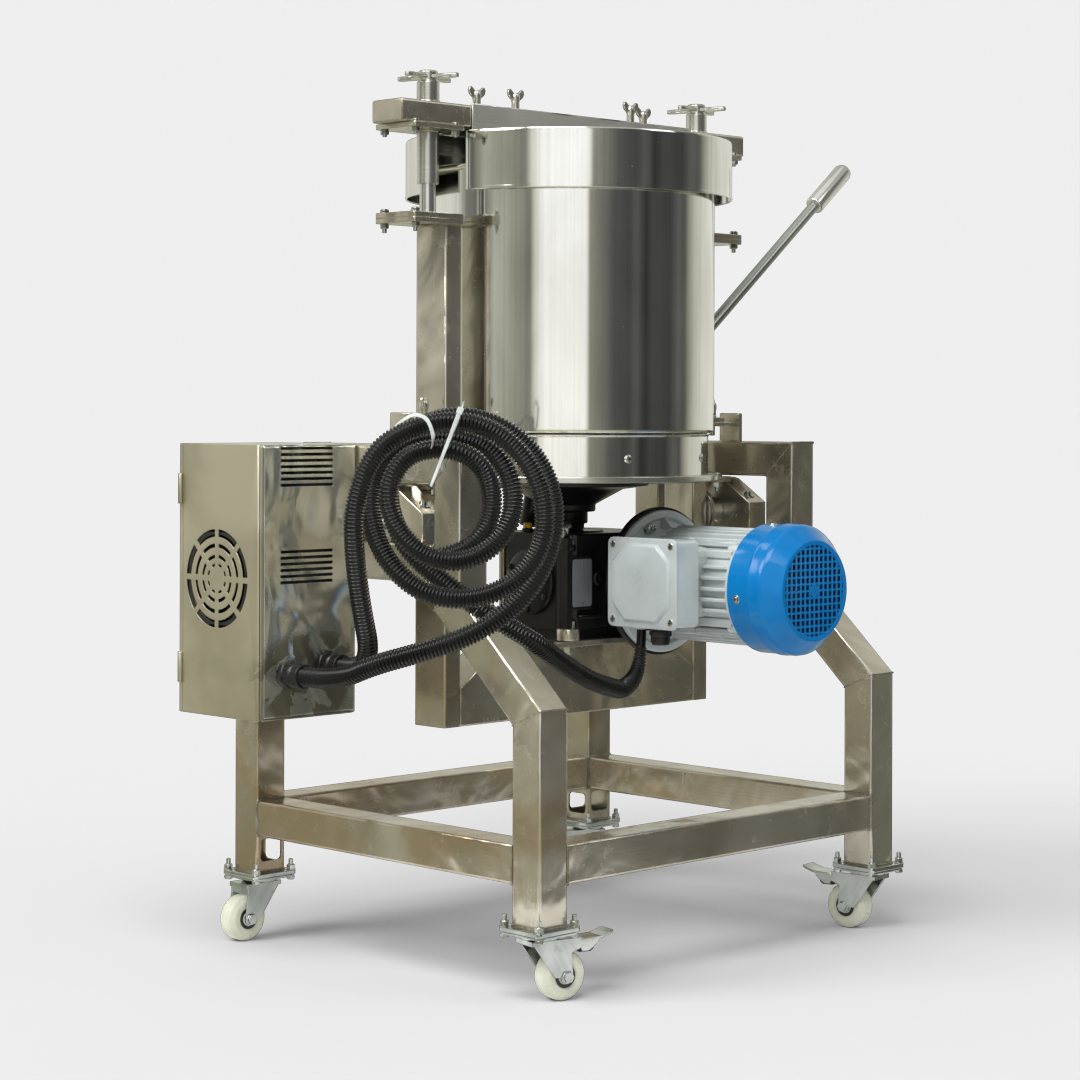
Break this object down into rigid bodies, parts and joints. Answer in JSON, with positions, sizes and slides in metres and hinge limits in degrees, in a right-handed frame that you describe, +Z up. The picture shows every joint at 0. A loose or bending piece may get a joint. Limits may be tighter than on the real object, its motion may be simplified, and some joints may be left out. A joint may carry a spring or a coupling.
{
  "type": "chocolate melanger",
  "caption": "Stone melanger with a polished rotating drum, granite rollers, worm-geared motor and control box, tilting in a tubular frame on castors.",
  "frame": {"origin": "on the floor, on the drum's axis when upright", "axes": "+Z up, +X along the tilt axis towards the tilt lever, +Y towards the operator side, where the drum pours"},
  "size_m": [1.1562, 0.7352, 1.1983],
  "materials": {
    "stainless": "brushed",
    "polished": "mirror polished",
    "zinc": "zinc plated",
    "steel": "machined",
    "black_paint": "satin",
    "black_casting": "painted",
    "grey_motor": "painted",
    "blue_cowl": "gloss",
    "grey_plastic": "matte",
    "black_plastic": "satin",
    "conduit": "gloss",
    "red_plastic": "gloss",
    "white_nylon": "matte",
    "granite": "ground"
  },
  "bodies": {
    "frame": {"left_side_frame": "stainless", "right_side_frame": "stainless", "base_rails": "stainless", "castor_plates": "zinc", "bearing_blocks": "stainless", "control_shell": "stainless", "fan_mount": "black_plastic", "inverter": "grey_plastic", "conduit_glands": "black_plastic", "conduit_feed_a": "conduit", "conduit_feed_b": "conduit", "conduit_coil": "conduit", "motor_lead": "conduit", "cable_ties": "white_nylon"},
    "yoke": {"yoke_frame": "stainless", "trunnions": "stainless", "column_heads": "stainless", "gearbox_mounting": "black_paint", "gearbox": "black_casting", "bearing_housing": "black_casting", "drum_plate": "stainless", "motor_body": "grey_motor", "fan_cowl": "blue_cowl", "terminal_box": "grey_motor", "tilt_lever": "stainless"},
    "drum": {"drum_shell": "polished", "base_stone": "granite", "drum_spindle": "steel"},
    "rotor": {"motor_rotor": "steel"},
    "head": {"crossbar": "stainless", "head_sockets": "stainless", "roller_carrier": "stainless"},
    "left_star": {"left_star_handle": "stainless"},
    "right_star": {"right_star_handle": "stainless"},
    "left_lock": {"left_lock_screw": "stainless"},
    "right_lock": {"right_lock_screw": "stainless"},
    "left_stone": {"left_roller": "granite"},
    "right_stone": {"right_roller": "granite"},
    "motor_lid": {"motor_side_lid": "polished"},
    "operator_lid": {"operator_side_lid": "polished"},
    "box_fan": {"cooling_fan": "black_plastic"},
    "door": {"box_door": "stainless"},
    "switch": {"main_switch": "black_plastic"},
    "stop": {"emergency_stop": "red_plastic"},
    "speed": {"speed_knob": "black_plastic"},
    "wing_1": {"wing_screw_1": "stainless"},
    "wing_2": {"wing_screw_2": "stainless"},
    "wing_3": {"wing_screw_3": "stainless"},
    "wing_4": {"wing_screw_4": "stainless"},
    "near_fork": {"near_castor_fork": "zinc"},
    "near_wheel": {"near_castor_wheel": "white_nylon"},
    "near_pedal": {"near_brake_pedal": "zinc"},
    "left_fork": {"left_castor_fork": "zinc"},
    "left_wheel": {"left_castor_wheel": "white_nylon"},
    "right_fork": {"right_castor_fork": "zinc"},
    "right_wheel": {"right_castor_wheel": "white_nylon"},
    "right_pedal": {"right_brake_pedal": "zinc"},
    "far_fork": {"far_castor_fork": "zinc"},
    "far_wheel": {"far_castor_wheel": "white_nylon"},
    "far_pedal": {"far_brake_pedal": "zinc"}
  },
  "joints": [
    {"name": "tilt", "type": "hinge", "parent": "frame", "child": "yoke", "pos_m": [0, 0, 0.59], "axis": [-1, 0, 0], "range_deg": [0, 100], "deforming": ["motor_lead"]},
    {"name": "drum_turn", "type": "hinge", "parent": "yoke", "child": "drum", "pos_m": [0, 0, 0.7], "axis": [0, 0, 1], "continuous": true},
    {"name": "rotor_turn", "type": "hinge", "parent": "yoke", "child": "rotor", "pos_m": [0.075, -0.2, 0.502], "axis": [0, -1, 0], "continuous": true},
    {"name": "head_lift", "type": "slide", "parent": "yoke", "child": "head", "axis": [0, 0, 1], "range_m": [0, 0.03]},
    {"name": "left_star_turn", "type": "hinge", "parent": "head", "child": "left_star", "pos_m": [-0.27, 0, 1.19], "axis": [0, 0, 1], "continuous": true},
    {"name": "left_lock_turn", "type": "hinge", "parent": "yoke", "child": "left_lock", "pos_m": [-0.29, -0.016, 0.74], "axis": [0, 0, 1], "continuous": true},
    {"name": "left_roller_turn", "type": "hinge", "parent": "head", "child": "left_stone", "pos_m": [-0.105, 0, 0.8525], "axis": [-1, 0, 0], "continuous": true},
    {"name": "right_star_turn", "type": "hinge", "parent": "head", "child": "right_star", "pos_m": [0.27, 0, 1.19], "axis": [0, 0, 1], "continuous": true},
    {"name": "right_lock_turn", "type": "hinge", "parent": "yoke", "child": "right_lock", "pos_m": [0.29, -0.016, 0.74], "axis": [0, 0, 1], "continuous": true},
    {"name": "right_roller_turn", "type": "hinge", "parent": "head", "child": "right_stone", "pos_m": [0.105, 0, 0.8525], "axis": [1, 0, 0], "continuous": true},
    {"name": "wing_1_turn", "type": "hinge", "parent": "head", "child": "wing_1", "pos_m": [-0.18, 0, 1.16], "axis": [0, 0, 1], "continuous": true},
    {"name": "wing_2_turn", "type": "hinge", "parent": "head", "child": "wing_2", "pos_m": [-0.106, 0, 1.16], "axis": [0, 0, 1], "continuous": true},
    {"name": "wing_3_turn", "type": "hinge", "parent": "head", "child": "wing_3", "pos_m": [0.127, 0, 1.16], "axis": [0, 0, 1], "continuous": true},
    {"name": "wing_4_turn", "type": "hinge", "parent": "head", "child": "wing_4", "pos_m": [0.154, 0, 1.16], "axis": [0, 0, 1], "continuous": true},
    {"name": "motor_lid_lift", "type": "slide", "parent": "head", "child": "motor_lid", "axis": [0, 0, 1], "range_m": [0, 0.12]},
    {"name": "operator_lid_lift", "type": "slide", "parent": "head", "child": "operator_lid", "axis": [0, 0, 1], "range_m": [0, 0.12]},
    {"name": "box_fan_turn", "type": "hinge", "parent": "frame", "child": "box_fan", "pos_m": [-0.507, 0.134, 0.519], "axis": [1, 0, 0], "continuous": true},
    {"name": "door_swing", "type": "hinge", "parent": "frame", "child": "door", "pos_m": [-0.5235, 0.2095, 0.517], "axis": [0, 0, 1], "range_deg": [0, 110]},
    {"name": "switch_turn", "type": "hinge", "parent": "door", "child": "switch", "pos_m": [-0.44, 0.22, 0.62], "axis": [0, 1, 0], "range_deg": [0, 90]},
    {"name": "stop_press", "type": "slide", "parent": "door", "child": "stop", "axis": [0, -1, 0], "range_m": [0, 0.005], "stiffness_N_per_m": 400, "springref_m": -0.002},
    {"name": "speed_turn", "type": "hinge", "parent": "door", "child": "speed", "pos_m": [-0.44, 0.22, 0.46], "axis": [0, 1, 0], "range_deg": [0, 270]},
    {"name": "near_swivel", "type": "hinge", "parent": "frame", "child": "near_fork", "pos_m": [-0.331, -0.28, 0.078], "axis": [0, 0, 1], "continuous": true},
    {"name": "near_roll", "type": "hinge", "parent": "near_fork", "child": "near_wheel", "pos_m": [-0.30166, -0.28624, 0.0315], "axis": [0.2079, 0.9781, 0], "continuous": true},
    {"name": "near_brake", "type": "hinge", "parent": "near_fork", "child": "near_pedal", "pos_m": [-0.28796, -0.28915, 0.073], "axis": [0.2079, 0.9781, 0], "range_deg": [0, 15]},
    {"name": "left_swivel", "type": "hinge", "parent": "frame", "child": "left_fork", "pos_m": [-0.331, 0.28, 0.078], "axis": [0, 0, 1], "continuous": true},
    {"name": "left_roll", "type": "hinge", "parent": "left_fork", "child": "left_wheel", "pos_m": [-0.361, 0.28, 0.0315], "axis": [0, -1, 0], "continuous": true},
    {"name": "right_swivel", "type": "hinge", "parent": "frame", "child": "right_fork", "pos_m": [0.331, -0.28, 0.078], "axis": [0, 0, 1], "continuous": true},
    {"name": "right_roll", "type": "hinge", "parent": "right_fork", "child": "right_wheel", "pos_m": [0.32786, -0.25016, 0.0315], "axis": [-0.9945, -0.1045, 0], "continuous": true},
    {"name": "right_brake", "type": "hinge", "parent": "right_fork", "child": "right_pedal", "pos_m": [0.3264, -0.23624, 0.073], "axis": [-0.9945, -0.1045, 0], "range_deg": [0, 15]},
    {"name": "far_swivel", "type": "hinge", "parent": "frame", "child": "far_fork", "pos_m": [0.331, 0.28, 0.078], "axis": [0, 0, 1], "continuous": true},
    {"name": "far_roll", "type": "hinge", "parent": "far_fork", "child": "far_wheel", "pos_m": [0.30502, 0.295, 0.0315], "axis": [-0.5, -0.866, 0], "continuous": true},
    {"name": "far_brake", "type": "hinge", "parent": "far_fork", "child": "far_pedal", "pos_m": [0.2929, 0.302, 0.073], "axis": [-0.5, -0.866, 0], "range_deg": [0, 15]}
  ],
  "couplings": [
    {"joint": "rotor_turn", "follows": "drum_turn", "ratio": 20},
    {"joint": "left_roller_turn", "follows": "drum_turn", "ratio": 1.1053},
    {"joint": "right_roller_turn", "follows": "drum_turn", "ratio": 1.1053}
  ]
}
